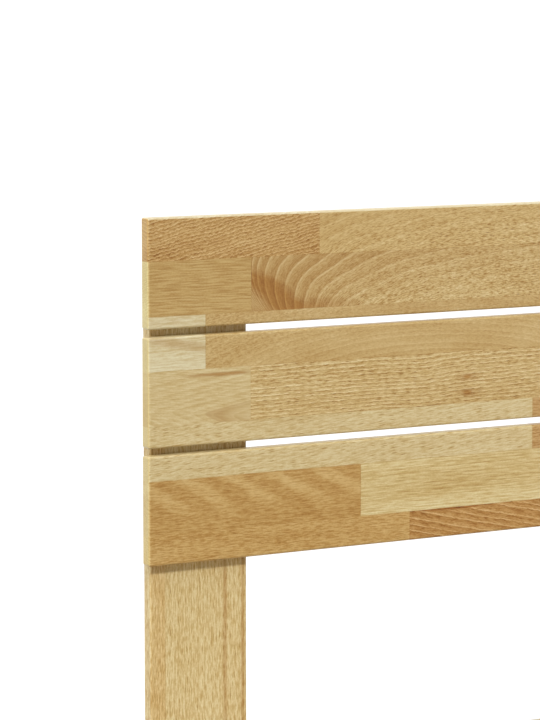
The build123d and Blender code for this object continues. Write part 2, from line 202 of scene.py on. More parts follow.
def makeBeech(name, look):
    material, start = newMaterial(name)
    means, knots = look["means"], look["knots"]

    def read(attribute):
        return start.make("ShaderNodeAttribute", {"attribute_name": attribute}, None, "Vector")

    tint = read("staveTint")
    along, across, depth = read("logPlace").parts()
    faceAlong, above, nearEnd = read("facePlace").parts()
    ringWidth, ringDepth, fleckDepth = read("staveFigure").parts()
    lineDepth, bandDepth, streakDepth = read("staveMarks").parts()
    rippleDepth, fibreDepth, taper = read("staveGrain").parts()
    heartFrom, heartTo, heartDepth = read("staveHeart").parts()
    seed, flow, fade = read("staveSeed").parts()
    knotAlong, knotAbove, knotSpread = read("staveKnot").parts()
    height, cloudDepth, crowdFrom = read("staveSize").parts()
    stroke, speckDepth = read("staveStroke").parts()[:2]
    slant, swell, unevenDepth = read("staveCone").parts()
    drift = along + seed  # along the grain, different in every stave

    def scaled(key, *places):
        scales = look["scales"][key]
        pairs = zip(places or (drift, across, depth), (*scales, scales[-1]))
        return start.vector(*[place * scale for place, scale in pairs])

    def wave(key, *places, detail=2, roughness=0.5):  # noise about 0
        return scaled(key, *places).noise(detail, roughness) - 0.5

    def step(value, key):
        return value.rise(*look["steps"][key])

    def mixed(key, **wires):  # each wire times its share
        return sum(wire * look[key][name] for name, wire in wires.items())

    # year rings: distance from the heart of the log
    wander = wave("wander", detail=1)
    ripple = wave("ripple", detail=1) + wave("waver", detail=1) * look["waver"]
    offBend = (faceAlong - knotAlong + look["bendBefore"]) / look["bendHalf"]
    bend = look["bendDip"] / (1 + offBend * offBend)
    radius = (((across * across + depth * depth) ** 0.5 + along * taper + across * slant) * swell + bend
              + wander * look["wander"] + ripple * rippleDepth * look["ripple"])
    crowded = (radius - crowdFrom).math("MAXIMUM", 0)  # rings lie ever closer outside this radius
    count = (radius + crowded * crowded * look["crowding"]) / ringWidth
    uneven = wave("uneven", count, drift, detail=1)
    phase = (count + uneven * unevenDepth * look["unevenDepth"]).math("FRACT")
    heart = radius.rise(heartFrom, heartTo)
    strength = 1 - fade * (1 - heart)
    clear = 1 - heart * look["clearing"]
    late = step(phase, "late") * (1 - step(phase, "lateEnd")) - means["late"]
    line = step(phase, "line") * (1 - step(phase, "lineEnd")) - means["line"]

    # fibres, dashes and dark flecks follow the rings
    cross = across * (1 - flow) + radius * flow * (1 - look["slowing"] + swell * look["slowing"])
    through = depth * (1 - flow * look["flowDepth"]) + across * flow * look["flowAcross"]
    fibre = wave("fibre", drift, radius, across, roughness=0.6)
    run = drift * stroke  # short strokes in some staves, long ones in others
    dash = step(scaled("dash", run, cross, through).noise(1), "dash") - means["dash"]
    speck = wave("speck", roughness=0.55)
    grain = wave("grain", roughness=0.6)
    cloud = wave("cloud")
    offCell, cellColour = scaled("fleck", run, cross, through).cells()
    fleck = (1 - step(offCell, "fleck")) * step(cellColour.parts()[0], "fleckKept") - means["fleck"]
    streak = step(scaled("streak", radius, drift).noise(), "streak")
    sway = (faceAlong + above * look["bandSlant"]) * look["bandTurns"] + cloud * look["bandSway"]
    band = step(sway.math("SINE"), "band") * step(above, "bandEdge") - means["band"]

    # stains, knots and glue lines
    blur = wave("blur")

    def stain(letter):
        middleAlong, middleAbove, stainDepth = read("stainPlace" + letter).parts()
        halfAlong, halfAbove, climb = read("stainSize" + letter).parts()
        offAlong = faceAlong - middleAlong
        offAbove = (above - middleAbove - offAlong * climb) / halfAbove
        offAlong = offAlong / halfAlong
        off = offAlong * offAlong + offAbove * offAbove + blur * look["stainBlur"]
        return (1 - step(off, "stain")) * stainDepth

    offKnot = (above - knotAbove).math("ABSOLUTE") - knotSpread
    offAlong = (faceAlong - knotAlong) * knots["along"]
    offKnot = (offKnot * offKnot + offAlong * offAlong) ** 0.5 + blur * knots["blur"]
    knot = 1 - step(offKnot, "knotCore") * knots["core"] - step(offKnot, "knotRim") * knots["rim"]
    edge = above.math("MINIMUM", height - above).math("MINIMUM", nearEnd)
    glue = (1 - step(edge, "glueEdge")) * step(scaled("glue", drift, across).noise(), "glueKept")

    fibres = mixed("toneBy", fibre=fibre, dash=dash, speck=speck * speckDepth, grain=grain)
    marks = mixed("toneBy", cloud=cloud * cloudDepth, late=late * ringDepth * strength,
                  line=line * lineDepth * strength, fleck=fleck * fleckDepth * clear,
                  band=band * bandDepth, glue=glue)
    tone = (1 + fibres * fibreDepth * clear + marks).math("MAXIMUM", look["darkest"])
    redder = start.make("ShaderNodeCombineColor", None,
                        {channel: tone ** power for channel, power in enumerate(look["redder"])})
    brownness = heart * heartDepth + streak * streakDepth + stain("A") + stain("B")
    brownness = brownness.math("MAXIMUM", knot).math("MINIMUM", 1)
    colour = tint.dyed(1, redder).dyed(brownness, (*look["brown"], 1))

    roughness = look["roughness"] + mixed("roughBy", dash=dash, fleck=fleck, late=late)
    relief = mixed("reliefBy", dash=dash, grain=grain, fleck=fleck, glue=glue)
    finishMaterial(start, look, colour, roughness, relief)
    return material


beech = makeBeech("oiledBeech", beechLook)
print("wood material made")

plainStave = dict(
    tint=(196, 165, 110),  # colour of the stave, as a screen shows it
    endTint=(217, 197, 137),  # colour of its end grain, paler than end grain is: partly its own tone, partly painted light from the left
    pith=(0, 150, 60),  # centre of the log: along, across, behind the face, mm
    skew=0,  # lines climb across the face, degrees
    lean=0,  # log dives into the face, degrees
    ring=5,  # width of a year, mm
    ringDepth=0.4, fleck=0.4, line=0.1, band=0, streak=0, fibre=1, speck=1,
    ripple=0.15,  # small zigzag of the lines
    stroke=0.7,  # shorter strokes above this, longer below
    flow=1,  # dashes follow the rings rather than the log
    taper=0, slant=0,  # rings widen (or narrow, below 0) along the log, and across it
    swell=1,  # what a slanted log's radius is multiplied by
    uneven=1,  # years of different width
    cloud=1,  # broad changes of tone
    crowd=9000,  # rings lie closer outside this radius, mm
    heart=(9000, 9900, 0),  # darker from this radius to that, mm, by how much
    fade=0,  # rings fade outside the heart
    knot=(-9000, 0, 0),  # along, above the stave's lower edge, half the gap between two knots, mm
    stains=(),  # up to two: along, above, half length, half height, mm, depth, climb
    log=None,  # staves of one log share its number
)
noStain = (0, 0, 1, 1, 0, 0)
logNumbers = {"first": 40, "rowStep": 7, "drift": 3.7}  # for staves without a number; metres between logs
stock = {"width": 0.0693, "shortest": 0.22, "longest": 0.62,  # staves of the glued stock, metres
         "lost": 0.8}  # share of the shortest that may be sawn off
rowSpare = 0.01  # rows reach past the wood, metres
pile = {  # what drawn staves are picked from: ranges in mm and degrees, and chances
    "shades": ((186, 150, 95), (196, 165, 110), (203, 178, 127), (207, 185, 135),
               (189, 154, 99), (199, 170, 116), (206, 182, 130), (180, 138, 82)),
    "flatShare": 0.4,
    "flatPith": ((-200, 700), (-40, 40), (18, 60)),
    "flatLean": (-7, 7),
    "flatFlow": 0.4,
    "sidePith": ((80, 190), (10, 90)),
    "ranges": dict(skew=(-6, 6), ring=(3.8, 6.8), ringDepth=(0.15, 0.65), fleck=(0.15, 0.7),
                   line=(0, 0.3)),
    "chances": dict(band=(0, 0, 0, 0.6), streak=(0, 0, 0.15, 0.35)),
}


def drawnStave(draw):
    spec = dict(plainStave, tint=pile["shades"][draw.randrange(len(pile["shades"]))])
    flat = draw.random() < pile["flatShare"]
    side = draw.choice((-1, 1))
    if flat:
        spec["pith"] = tuple(draw.uniform(*ends) for ends in pile["flatPith"])
        spec["lean"] = draw.uniform(*pile["flatLean"])
        spec["flow"] = pile["flatFlow"]
    else:
        across, behind = (draw.uniform(*ends) for ends in pile["sidePith"])
        spec["pith"] = (0, side * across, behind)
    for key, ends in pile["ranges"].items():
        spec[key] = draw.uniform(*ends)
    for key, chances in pile["chances"].items():
        spec[key] = draw.choice(chances)
    return spec


def drawnRow(draw, start, end):
    staves = []
    place = start - draw.uniform(0, stock["lost"]) * stock["shortest"]
    while place < end:
        staves.append((place, drawnStave(draw)))
        place += draw.uniform(stock["shortest"], stock["longest"])
    return staves


def drawnRows(seed, low, high, start, end):
    draw = random.Random(seed)
    rows = []
    edge = low - draw.uniform(0, 1) * stock["width"]
    while edge < high:
        rows.append({"low": edge, "high": edge + stock["width"], "staves": drawnRow(draw, start, end)})
        edge += stock["width"]
    return rows


def pieceName(node):  # head_post_left is dressed as headPostLeft
    first, *others = node.split("_")
    return first + "".join(word.title() for word in others)


def mergedBody(node):  # a copy of a node's mesh with its loose triangles joined
    body = bmesh.new()
    body.from_mesh(cadNodes[node].data)
    bmesh.ops.remove_doubles(body, verts=body.verts, dist=1e-6)
    return body


def newObject(name, data):
    item = bpy.data.objects.new(name, data)
    scene.collection.objects.link(item)
    return item


def evaluatedMesh(item):
    return bpy.data.meshes.new_from_object(item.evaluated_get(bpy.context.evaluated_depsgraph_get()))


def smoothFaces(mesh, name):  # rounded edges shade round, flat faces stay flat
    mesh.shade_smooth()
    mesh.set_sharp_from_angle(angle=math.radians(sharpFrom["wood"]))
    holder = newObject(name + "Holder", mesh)
    weight = holder.modifiers.new("weight", "WEIGHTED_NORMAL")
    weight.keep_sharp = True
    weight.weight = 100
    ready = evaluatedMesh(holder)
    bpy.data.objects.remove(holder)
    return ready


def cutStaves(node, name, alongAxis, acrossAxis, rows):  # the node's shape, cut along its glue lines
    body = mergedBody(node)

    def split(faces, axis, value):
        edges = {edge for face in faces for edge in face.edges}
        verts = {vert for face in faces for vert in face.verts}
        bmesh.ops.bisect_plane(body, geom=[*faces, *edges, *verts], dist=1e-7,
                               plane_co=axis * value, plane_no=axis)

    def facesOf(row):
        return [f for f in body.faces if row["low"] <= f.calc_center_median().dot(acrossAxis) < row["high"]]

    for row in rows:
        split(list(body.faces), acrossAxis, row["low"])
    for row in rows:
        for stave in row["staves"]:
            split(facesOf(row), alongAxis, stave[0])
    bmesh.ops.recalc_face_normals(body, faces=body.faces)
    mesh = bpy.data.meshes.new(name)
    body.to_mesh(mesh)
    body.free()
    return smoothFaces(mesh, name)


def staveAt(rows, alongPlace, acrossPlace):  # the row and stave of a place, and the stave's two ends
    row = next((r for r in rows if r["low"] <= acrossPlace < r["high"]), rows[-1])
    staves = row["staves"]
    number = max(i for i, s in enumerate(staves) if i == 0 or s[0] <= alongPlace)
    start, spec = staves[number]
    stop = staves[number + 1][0] if number + 1 < len(staves) else math.inf
    if spec["log"] is None:
        log = logNumbers["first"] + number + logNumbers["rowStep"] * round(row["low"] / stock["width"])
        spec = {**spec, "log": log}
    return row, spec, start, stop


edgeLook = {  # edges painted paler, with less figure, where faces turn this far: a painted highlight on the top face, rounded edges and narrow faces, and end grain paler partly by its own tone and partly by painted light from the left
    # tint that rounded edges and narrow faces are painted towards, as a painted highlight
    "tint": (217, 197, 137),
    # end grain: paler partly by its own tone, partly by painted light from the left, and with less figure
    "end": {"pale": 0.80, "calm": 0.45, "facing": 0.6},
    # top face: paler as a painted highlight of light from above, with less figure
    "top": {"pale": 0.9, "calm": 0.3, "facing": 0.25, "tint": (215, 200, 160)},
    # rounded edges: a slight painted highlight
    "rounded": {"pale": 0.1, "facing": 0.985},
    # narrow faces: paler as painted light
    "narrow": {"pale": 0.3, "facing": 0.9},
    # pieces whose top face gets the painted highlight
    "worn": ("headboard_board_top",),
}


def edgeTone(node, normal, alongAxis, acrossAxis, spec):  # how much figure a face shows, and its tint: paler as painted highlight on tops, rounded edges and narrow faces, and on end grain partly as painted light
    end, top, rounded, narrow = (edgeLook[key] for key in ("end", "top", "rounded", "narrow"))
    calm, pale, paleTint = 1, 0, edgeLook["tint"]
    if abs(normal.dot(alongAxis)) > end["facing"]:
        calm, pale, paleTint = end["calm"], end["pale"], spec["endTint"]
    elif node in edgeLook["worn"] and normal.z > top["facing"]:
        calm, pale, paleTint = top["calm"], top["pale"], top["tint"]
    elif max(abs(v) for v in normal) < rounded["facing"]:
        pale = rounded["pale"]
    elif abs(normal.dot(acrossAxis)) > narrow["facing"]:
        pale = narrow["pale"]
    # blend towards the pale tint: painted highlight, and partly painted light on end grain
    tint = tuple(t + (p - t) * pale for t, p in zip(linear(*spec["tint"]), linear(*paleTint)))
    return calm, tint


def staveValues(spec, width, calm, tint):  # what the wood material reads from one face
    heartFrom, heartTo, heartDepth = spec["heart"]
    values = {
        "staveTint": tint,
        "staveFigure": (spec["ring"] * mm, spec["ringDepth"] * calm, spec["fleck"] * calm),
        "staveMarks": (spec["line"] * calm, spec["band"] * calm, spec["streak"] * calm),
        "staveGrain": (spec["ripple"], spec["fibre"] * calm, spec["taper"]),
        "staveHeart": (heartFrom * mm, heartTo * mm, heartDepth * calm),
        "staveSeed": (logNumbers["drift"] * (spec["log"] or 0), spec["flow"], spec["fade"]),
        "staveKnot": tuple(v * mm for v in spec["knot"]),
        "staveSize": (width, spec["cloud"], spec["crowd"] * mm),
        "staveStroke": (spec["stroke"], spec["speck"], 0),
        "staveCone": (spec["slant"], spec["swell"], spec["uneven"]),
    }
    for letter, stain in zip("AB", (*spec["stains"], noStain, noStain)):
        stainAlong, stainAbove, halfAlong, halfAbove, stainDepth, climb = stain
        values["stainPlace" + letter] = (stainAlong * mm, stainAbove * mm, stainDepth * calm)
        values["stainSize" + letter] = (halfAlong * mm, halfAbove * mm, climb)
    return values


def dressWood(node, along, across, rows):
    name = pieceName(node)
    alongAxis, acrossAxis = axisOf[along], axisOf[across]
    depthAxis = Vector((1, 1, 1)) - alongAxis - acrossAxis
    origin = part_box(node)[0]
    mesh = cutStaves(node, name, alongAxis, acrossAxis, rows)
    logPlaces = [0] * (3 * len(mesh.loops))
    facePlaces, values = list(logPlaces), {}
    for face in mesh.polygons:
        middleAlong = face.center.dot(alongAxis)
        row, spec, start, stop = staveAt(rows, middleAlong, face.center.dot(acrossAxis))
        skew, lean = math.radians(spec["skew"]), math.radians(spec["lean"])
        logAxis = (alongAxis + acrossAxis * math.tan(skew) + depthAxis * math.tan(lean)).normalized()
        side = (acrossAxis - logAxis * acrossAxis.dot(logAxis)).normalized()
        back = logAxis.cross(side)
        pith = (alongAxis * (origin.dot(alongAxis) + spec["pith"][0] * mm)
                + acrossAxis * ((row["low"] + row["high"]) / 2 + spec["pith"][1] * mm)
                + depthAxis * (origin.dot(depthAxis) + spec["pith"][2] * mm))
        firstHalf = middleAlong * 2 < start + stop
        for corner in face.loop_indices:
            place = mesh.vertices[mesh.loops[corner].vertex_index].co
            offset = place - pith
            nearEnd = place.dot(alongAxis) - start if firstHalf else stop - place.dot(alongAxis)
            above = place.dot(acrossAxis) - row["low"]
            three = slice(3 * corner, 3 * corner + 3)
            logPlaces[three] = (offset.dot(logAxis), offset.dot(side), offset.dot(back))
            facePlaces[three] = ((place - origin).dot(alongAxis), above, nearEnd)
        calm, tint = edgeTone(node, face.normal, alongAxis, acrossAxis, spec)
        for layer, value in staveValues(spec, row["high"] - row["low"], calm, tint).items():
            values.setdefault(layer, []).extend(value)
    for layer, numbers in (("logPlace", logPlaces), ("facePlace", facePlaces)):
        mesh.attributes.new(layer, "FLOAT_VECTOR", "CORNER").data.foreach_set("vector", numbers)
    for layer, numbers in values.items():
        mesh.attributes.new(layer, "FLOAT_VECTOR", "FACE").data.foreach_set("vector", numbers)
    mesh.materials.clear()
    mesh.materials.append(beech)
    piece = newObject(name, mesh)
    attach(piece, "frame")
    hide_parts(node)


# headboard: one glued panel ripped into three boards, so the staves run on across the gaps
archedLog = dict(skew=-20.51, lean=3.06, taper=-0.00733, slant=-0.98618, swell=52, uneven=0.15, ring=-13.22,
                 log=5)  # two staves of it lie one above the other
headboardStaves = {
    "rowEdges": (54.7, 124, 193.3, 262.6, 331.9, 401.2, 470.5),  # below the top edge, mm
    "topSpare": 0.02,
    "drawnFrom": 0.60,  # from the left end, metres: draws start, and the first stave that counts
    "drawnPast": 0.62,
    "seed": 4,
    "rows": [  # for each stave, where it starts, mm from the left end, and what differs from a plain one
        # each endTint is partly the end grain's own tone, partly painted light from the left
        [(0, dict(tint=(184, 145, 85), endTint=(198, 160, 94), pith=(0, -150, 40), skew=12.5, ring=4,
                  ringDepth=1.2, fleck=0.5, line=1.35, ripple=0.8, fibre=0.9, stroke=1.5, speck=2.2,
                  cloud=2.6)),
         (249, dict(archedLog, tint=(196, 165, 106), pith=(459.1, -266.15, 0), ringDepth=0.2, fleck=1.6,
                    line=0.4, fibre=1.5, stroke=0.95, speck=0.9, heart=(170, 260, 0), fade=0.45))],
        [(0, dict(tint=(187, 154, 94), endTint=(230, 218, 158), pith=(0, 160, 50), ring=3.4, fleck=0.15,
                  fibre=0.8, stroke=0.32)),
         (148, dict(archedLog, tint=(196, 166, 108), pith=(459.1, -194.15, 0), ringDepth=0.8, fleck=1.3,
                    line=1.05, fibre=1.45, stroke=1.05, speck=1.2, heart=(130, 240, 0.42), fade=0.8,
                    crowd=265, stains=((178, 24, 50, 23, 0.85, -0.55), (235, 0, 85, 15, 0.55, 0))))],
        [(0, dict(tint=(215, 201, 160), endTint=(227, 214, 157), pith=(0, -150, 60), skew=2, ring=6.5,
                  ringDepth=0.2, fleck=0.1, fibre=0.45, cloud=1.5, stroke=0.5,
                  stains=((45, 33, 80, 7.5, 0.48, -0.20), (20, 62, 50, 5, 0.2, 0.1)))),
         (82, dict(tint=(196, 166, 109), pith=(410, -115, 0), lean=20.5, ring=8, ringDepth=0.3, fleck=0.3,
                   line=0.3, flow=0.6, fibre=0.8, cloud=2, stroke=0.8, speck=1.6, heart=(190, 90, 0),
                   fade=0.6, stains=((330, 62, 400, 13, 0.16, 0),)))],
        [(0, dict(tint=(206, 184, 133), pith=(80, -22.5, 3), skew=-6.7, taper=-0.29, ring=8, ringDepth=0.3,
                  fleck=0.1, heart=(4.2, 2.7, 0.44), flow=0.1, fibre=0.5, stroke=0.4, uneven=0.5, cloud=0.6,
                  stains=((104, 61.5, 60, 3.2, 0.9, 0), (146, 12, 38, 14, -0.40, 0.1)))),
         (147, dict(tint=(198, 169, 112), pith=(0, -130, 20), skew=1, ring=5.4, ringDepth=0.8, fleck=1.2,
                    line=1.1, ripple=0.35, stroke=0.8, knot=(478, 24, 10.3)))],
        [(0, dict(tint=(207, 186, 136), endTint=(211, 189, 127), pith=(0, 150, 70), skew=5, ringDepth=0.12,
                  fleck=1.1, fibre=0.6, stroke=0.6)),
         (583, dict(tint=(188, 150, 94), pith=(0, 120, 30), ringDepth=0.5))],
        [(0, dict(tint=(190, 153, 91), pith=(0, -160, 40), ringDepth=0.15, fleck=0.35, band=1, fibre=0.85,
                  stroke=0.65)),
         (312, dict(tint=(212, 191, 137), pith=(0, 150, 30), ring=4.6, ringDepth=0.35, fleck=0.3,
                    streak=0.15, fibre=0.68, cloud=2.6, stroke=0.4))],
        [(0, dict(tint=(192, 155, 93), endTint=(213, 189, 123), pith=(0, -150, 50), ring=4.4, ringDepth=0.2,
                  fleck=0.5, cloud=2.4)),
         (388, dict(tint=(180, 136, 76), pith=(0, -90, 30), skew=-12, ring=8.6, ringDepth=0.9, line=1.9,
                    ripple=0.4, fibre=1.2, stroke=0.9, stains=((455, 69, 70, 3.4, 1.2, 0),)))],
    ],
}


def headboardRows(look):
    low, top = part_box("headboard_board_top")
    draw = random.Random(look["seed"])
    rows, upper = [], top.z + look["topSpare"]
    for edge, staves in zip(look["rowEdges"], look["rows"]):
        lower = top.z - edge * mm
        chosen = [(low.x + start * mm, {**plainStave, **spec}) for start, spec in staves]
        drawn = drawnRow(draw, low.x + look["drawnFrom"], top.x)
        chosen += [stave for stave in drawn if stave[0] > low.x + look["drawnPast"]]
        rows.append({"low": lower, "high": upper, "staves": chosen})
        upper = lower
    return rows


panelRows = headboardRows(headboardStaves)
for part in ("top", "middle", "bottom"):
    dressWood("headboard_board_" + part, "x", "z", panelRows)
print("headboard boards dressed:", sum(len(r["staves"]) for r in panelRows), "staves")

# posts: grain upright, two staves side by side
postStaves = {
    "split": 21,  # from the outer edge, mm
    "outer": dict(tint=(210, 180, 122), pith=(0, 120, 40), ringDepth=0.3, fleck=0.3),
    "inner": dict(tint=(213, 189, 134), pith=(0, 130, 50), ring=5.6, ringDepth=0.25, fleck=0.9, fibre=0.9,
                  stains=((460, 87, 420, 3.4, 0.62, 0), (420, 113, 500, 2.6, 0.75, 0))),
    "tall": 0.5,  # posts above this height stand on a drawn stave of such a length, metres
    "foot": (0.12, 0.3),
    "seeds": {"head_post_left": 21, "head_post_right": 22, "foot_post_left": 23, "foot_post_right": 24},
}


def postRows(node, look):
    low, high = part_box(node)
    draw = random.Random(look["seeds"][node])
    outerIsLow = low.x < 0
    split = low.x + look["split"] * mm if outerIsLow else high.x - look["split"] * mm
    first, second = ("outer", "inner") if outerIsLow else ("inner", "outer")
    bottom = low.z - rowSpare
    rows = []
    for lower, upper, kind in ((low.x - rowSpare, split, first), (split, high.x + rowSpare, second)):
        main = {**plainStave, **look[kind]}
        staves = [(bottom, main)]
        if high.z > look["tall"]:
            staves = [(bottom, drawnStave(draw)), (low.z + draw.uniform(*look["foot"]), main)]
        rows.append({"low": lower, "high": upper, "staves": staves})
    return rows


for node in postStaves["seeds"]:
    dressWood(node, "z", "x", postRows(node, postStaves))
print("posts dressed")

# rails and foot board: the same glued stock, with the way its grain runs and a seed
railStaves = {"head_rail": ("x", 31), "foot_board": ("x", 35),
              "side_rail_left": ("y", 33), "side_rail_right": ("y", 37)}
for node, (along, seed) in railStaves.items():
    low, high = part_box(node)
    start, end = low.dot(axisOf[along]), high.dot(axisOf[along])
    dressWood(node, along, "z", drawnRows(seed, low.z, high.z, start, end))
print("rails dressed")

# ledges, centre beam, leg and dowels: solid pieces, one stave each
solidWood = {
    "slat_ledge_left": ("y", "z", 51, "solid_beech"),
    "slat_ledge_right": ("y", "z", 52, "solid_beech"),
    "centre_beam": ("y", "z", 53, "solid_beech"),
    "centre_leg": ("z", "x", 54, "solid_beech"),
    "rail_dowels": ("y", "z", 55, "dowel_beech"),
}
for node, (along, across, seed, slot) in solidWood.items():
    low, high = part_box(node)
    lower, upper = low.dot(axisOf[across]) - rowSpare, high.dot(axisOf[across]) + rowSpare
    only = [(low.dot(axisOf[along]) - rowSpare, drawnStave(random.Random(seed)))]
    dressWood(node, along, across, [{"low": lower, "high": upper, "staves": only}])
print("solid pieces dressed")


def geometryTree(name, sizes):  # a tree with named inputs for its sizes
    tree = bpy.data.node_groups.new(name, "GeometryNodeTree")
    kinds = {float: "NodeSocketFloat", int: "NodeSocketInt"}
    tree.interface.new_socket("Geometry", in_out="OUTPUT", socket_type="NodeSocketGeometry")
    tree.interface.new_socket("Places", in_out="INPUT", socket_type="NodeSocketGeometry")
    for key, value in sizes.items():
        kind = kinds.get(type(value), "NodeSocketMaterial")
        tree.interface.new_socket(key, in_out="INPUT", socket_type=kind)
    start = Wire(tree)
    wires = start.make("NodeGroupInput", None, None, None)
    return tree, start, {wire.socket.name: wire for wire in wires}


def closeTree(start, geometry, material):
    whole = start.form("RealizeInstances", {0: geometry})
    painted = start.form("SetMaterial", {0: whole, "Material": material})
    start.make("NodeGroupOutput", None, {0: painted}, None)


def growPiece(name, tree, sizes, places, aims=()):
    seeds = bpy.data.meshes.new(name + "Places")
    seeds.from_pydata(places, [], [])
    if aims:
        layer = seeds.attributes.new("aim", "FLOAT_VECTOR", "POINT")
        layer.data.foreach_set("vector", [v for aim in aims for v in aim])
    piece = newObject(name, seeds)
    grow = piece.modifiers.new("grow", "NODES")
    grow.node_group = tree
    for item in tree.interface.items_tree:
        if item.in_out == "INPUT" and item.name in sizes:
            grow[item.identifier] = sizes[item.name]
    mesh = evaluatedMesh(piece)
    piece.modifiers.remove(grow)
    mesh.name = name
    mesh.shade_smooth()
    mesh.set_sharp_from_angle(angle=math.radians(sharpFrom["metal"]))
    piece.data = mesh
    return piece


def upright(start, z):
    return start.vector(0, 0, z)


def skin(start, curve, profile, girth=1):
    return start.form("CurveToMesh",
                      {"Curve": curve, "Profile Curve": profile, "Scale": girth, "Fill Caps": True})


def sweep(start, fromPlace, toPlace, rings, sides, girth):  # a turned bar between two places
    line = start.form("CurvePrimitiveLine", {"Start": fromPlace, "End": toPlace})
    line = start.form("ResampleCurve", {"Curve": line, "Count": rings})
    ring = start.form("CurvePrimitiveCircle", {"Resolution": sides, "Radius": 1})
    return skin(start, line, ring, girth)


def turnedGirth(start, profile):  # girth along a turned bar
    along = start.form("SplineParameter")
    return start.make("ShaderNodeFloatCurve", {"points": profile}, {"Value": along})


def hexagon(start, width, depth):  # width: across its flats
    return start.form("MeshCylinder", {"Vertices": 6, "Radius": width * (1 / math.sqrt(3)), "Depth": depth})


def moved(start, geometry, place, turn=(0, 0, 0)):
    return start.form("Transform", {"Geometry": geometry, "Translation": place, "Rotation": turn})


def cutAway(start, geometry, cutters):
    return start.make("GeometryNodeMeshBoolean", {"operation": "DIFFERENCE", "solver": "EXACT"},
                      {"Mesh 1": geometry, "Mesh 2": cutters})


def keep(start, geometry, name, value, domain="POINT"):
    return start.make("GeometryNodeStoreNamedAttribute", {"data_type": "FLOAT_VECTOR", "domain": domain},
                      {"Geometry": geometry, "Name": name, "Value": value})


def kept(start, name):
    return start.make("GeometryNodeInputNamedAttribute", {"data_type": "FLOAT_VECTOR"}, {"Name": name})


# slats: a row of sawn boards with rounded edges and countersunk screw holes
slatSizes = {
    "Count": 16, "First": -0.960, "Pitch": 0.128, "Bottom": 0.215, "Length": 1.410, "Width": 0.080,
    "Thickness": 0.018, "Edge Radius": 0.003, "Edge Steps": 4, "Screw Place": 0.695,
    "Screw Radius": 0.0045, "Screw Depth": 0.00225, "Sink Sides": 20, "Seed": 9, "Material": beech,
}
slatLook = {
    "shades": ((186, 151, 96), (210, 188, 138)),
    "sink": {"top": 1.16, "bottom": 0.5, "depth": 1.33},  # countersink, as shares of the screw's head
    "drawn": {  # lowest and highest of what differs from slat to slat
        "slatPith": ((-0.3, 0.03, -0.06), (0.3, 0.16, 0.09)),
        "staveFigure": ((0.0040, 0.15, 0.20), (0.0068, 0.60, 0.70)),
        "staveMarks": ((0, 0, 0), (0.3, 0, 0.2)),
        "staveSeed": ((0, 0.6, 0), (70, 1, 0)),
    },
    "facePlace": (1, 1, 1),  # so far from all edges that no glue line shows
    "width": 2,
}


def makeSlats(sizes, look):
    tree, start, size = geometryTree("slatRow", sizes)
    outline = start.form("CurvePrimitiveQuadrilateral",
                         {"Width": size["Width"], "Height": size["Thickness"]})
    outline = start.make("GeometryNodeFilletCurve", {"mode": "POLY"},
                         {"Curve": outline, "Count": size["Edge Steps"], "Radius": size["Edge Radius"]})
    half = size["Length"] * 0.5
    line = start.form("CurvePrimitiveLine",
                      {"Start": start.vector(0 - half, 0), "End": start.vector(half, 0)})
    slat = skin(start, line, outline)
    sink = start.form("MeshCone",
                      {"Vertices": size["Sink Sides"],
                       "Radius Top": size["Screw Radius"] * look["sink"]["top"],
                       "Radius Bottom": size["Screw Radius"] * look["sink"]["bottom"],
                       "Depth": size["Screw Depth"] * look["sink"]["depth"]})
    level = size["Thickness"] * 0.5 - size["Screw Depth"]
    holes = [moved(start, sink, start.vector(size["Screw Place"] * side, 0, level)) for side in (-1, 1)]
    slat = cutAway(start, slat, holes)
    slat = keep(start, slat, "logPlace", start.form("InputPosition"))
    middle = size["Bottom"] + size["Thickness"] * 0.5
    points = start.form("MeshLine",
                        {"Count": size["Count"], "Offset": start.vector(0, size["Pitch"]),
                         "Start Location": start.vector(0, size["First"], middle)})
    row = start.form("InstanceOnPoints", {"Points": points, "Instance": slat})

    shade = start.make("FunctionNodeRandomValue", {"data_type": "FLOAT"},
                       {2: 0, 3: 1, "Seed": size["Seed"]}, 1)
    dark, light = (linear(*shown) for shown in look["shades"])
    tint = start.make("ShaderNodeMix", {"data_type": "VECTOR"}, {0: shade, 4: dark, 5: light}, 1)
    perSlat = {**staveValues(plainStave, look["width"], 1, tint), "facePlace": look["facePlace"]}
    for turn, (key, (low, high)) in enumerate(look["drawn"].items(), 1):
        perSlat[key] = start.make("FunctionNodeRandomValue", {"data_type": "FLOAT_VECTOR"},
                                  {0: low, 1: high, "Seed": size["Seed"] + turn})
    for key, value in perSlat.items():
        row = keep(start, row, key, value, "INSTANCE")
    whole = start.form("RealizeInstances", {0: row})
    shifted = start.make("ShaderNodeVectorMath", {"operation": "ADD"},
                         {0: kept(start, "logPlace"), 1: kept(start, "slatPith")})
    closeTree(start, keep(start, whole, "logPlace", shifted), size["Material"])
    return growPiece("slatRow", tree, sizes, [(0, 0, 0)])


slats = makeSlats(slatSizes, slatLook)
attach(slats, "frame")
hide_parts(*["slat_%02d" % (i + 1) for i in range(slatSizes["Count"])])
print("slats laid:", len(slats.data.polygons), "faces")

steelLook = {"tone": (0.60, 0.61, 0.62), "dark": 0.82, "bright": (1.05, 1.03, 0.94),  # clouded plating
             "clouds": 160, "grain": 2600, "stops": (0.30, 0.52, 0.70), "roughness": 0.34,
             "spread": 0.30, "bump": (0.08, 0.0002), "surface": {"Metallic": 1}}
alloyLook = {**steelLook, "tone": (0.50, 0.50, 0.51), "roughness": 0.50, "spread": 0.24}  # cast, duller


